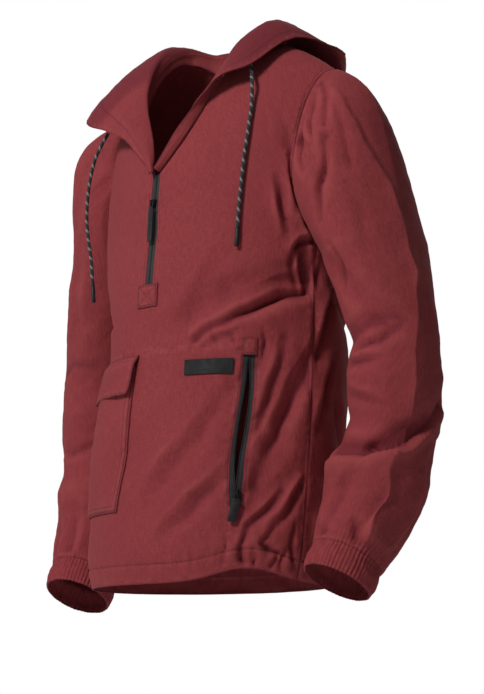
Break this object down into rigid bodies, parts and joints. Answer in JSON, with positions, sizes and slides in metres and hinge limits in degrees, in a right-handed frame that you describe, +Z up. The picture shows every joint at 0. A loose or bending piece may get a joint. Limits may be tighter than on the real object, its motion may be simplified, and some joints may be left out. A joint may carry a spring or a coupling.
{
  "type": "anorak pullover",
  "caption": "Hooded half-zip pullover anorak, hollow, hanging in its worn pose, with gathered cuffs, a flap pocket and a zipped pocket.",
  "frame": {"origin": "on the middle plane at shoulder height, 22 mm below the two neck points, where the wearer's shoulders carry the garment", "axes": "+Z up, wearer's front towards -Y, wearer's left towards +X"},
  "size_m": [0.6862, 0.3741, 0.8068],
  "materials": {
    "red_cloth": "matt woven cotton and nylon, dusty red",
    "red_cloth_inside": "matt woven, dark red",
    "zip_tape": "black woven tape with coil teeth",
    "charcoal_rubber": "matt moulded",
    "dark_metal": "black enamel",
    "cord": "round braid, black with pale flecks"
  },
  "bodies": {
    "garment": {"front_upper": "red_cloth", "front_lower": "red_cloth", "back": "red_cloth", "sleeve_left": "red_cloth", "sleeve_right": "red_cloth", "cuff_left": "red_cloth", "cuff_right": "red_cloth", "hood_left": "red_cloth", "hood_right": "red_cloth", "zip_patch": "red_cloth", "cargo_pocket": "red_cloth", "pocket_flap": "red_cloth", "pocket_welt": "red_cloth", "pocket_bag": "red_cloth_inside", "front_zip_tape_left": "zip_tape", "front_zip_tape_right": "zip_tape", "pocket_zip_tape_front": "zip_tape", "pocket_zip_tape_side": "zip_tape", "front_zip_slider": "dark_metal", "pocket_zip_slider": "dark_metal", "waist_label": "charcoal_rubber", "cord_tip_left": "charcoal_rubber", "cord_tip_right": "charcoal_rubber", "drawcord_left": "cord", "drawcord_right": "cord"},
    "front_pull": {"front_zip_pull": "charcoal_rubber"},
    "pocket_pull": {"pocket_zip_pull": "charcoal_rubber"}
  },
  "joints": [
    {"name": "front_pull_swing", "type": "hinge", "parent": "garment", "child": "front_pull", "pos_m": [0, -0.13669, -0.21469], "axis": [-1, 0, 0], "range_deg": [0, 150]},
    {"name": "pocket_pull_swing", "type": "hinge", "parent": "garment", "child": "pocket_pull", "pos_m": [0.14445, -0.11682, -0.61581], "axis": [-0.6526, -0.7501, 0.1074], "range_deg": [0, 150]}
  ]
}
